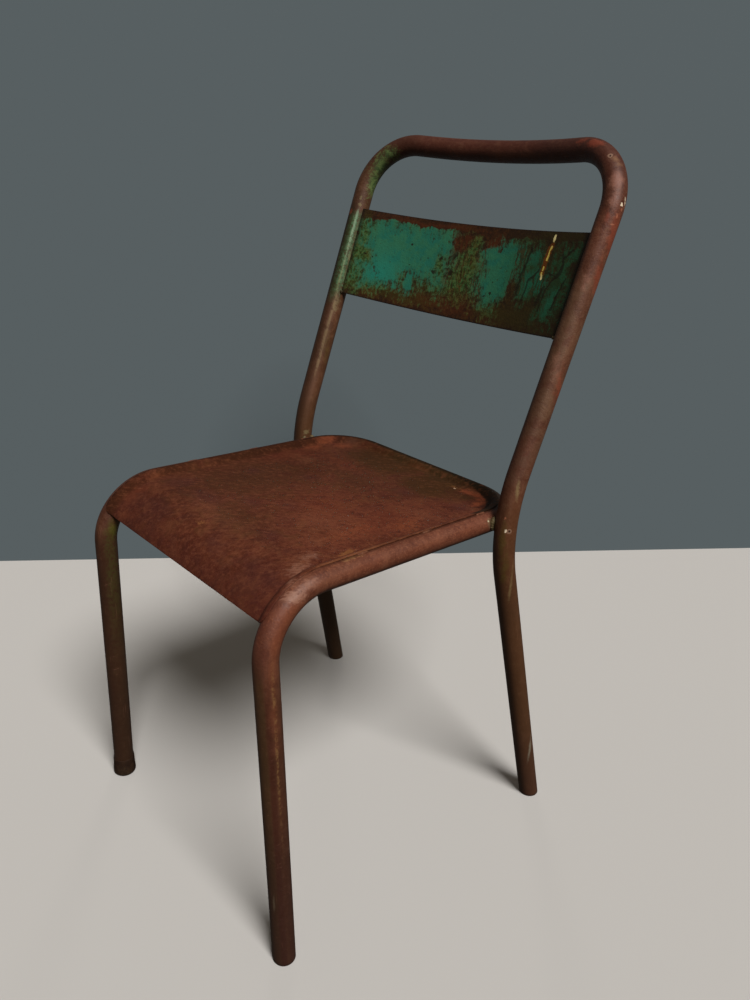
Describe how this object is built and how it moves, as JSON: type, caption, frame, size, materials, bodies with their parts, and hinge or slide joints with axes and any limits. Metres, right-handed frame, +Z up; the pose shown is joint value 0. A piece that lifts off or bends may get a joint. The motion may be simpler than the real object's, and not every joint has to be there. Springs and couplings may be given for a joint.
{
  "type": "stacking chair",
  "caption": "Stacking chair of two bent steel tubes with a dished sheet seat that rolls over the front, and a bowed sheet back slat.",
  "frame": {"origin": "on the floor, under the middle of the chair's outline", "axes": "+Z up; -Y is the front, the way a sitter faces; +X is the sitter's left"},
  "size_m": [0.434, 0.4806, 0.8158],
  "materials": {
    "frame_paint": "matt, weathered rust-red paint with worn spots",
    "seat_paint": "matt, weathered rust-red paint with fine scratches",
    "slat_paint": "worn blue-green paint with rust showing at the edges",
    "weld_metal": "rough, painted over",
    "cap_rubber": "matt, painted over"
  },
  "bodies": {
    "root": {"back_frame_tube": "frame_paint", "seat_frame_tube": "frame_paint", "seat_panel": "seat_paint", "back_slat": "slat_paint", "joint_weld_left": "weld_metal", "joint_weld_right": "weld_metal", "slat_weld_left": "weld_metal", "slat_weld_right": "weld_metal", "panel_weld_left": "weld_metal", "panel_weld_right": "weld_metal", "foot_cap": "cap_rubber"}
  },
  "joints": []
}
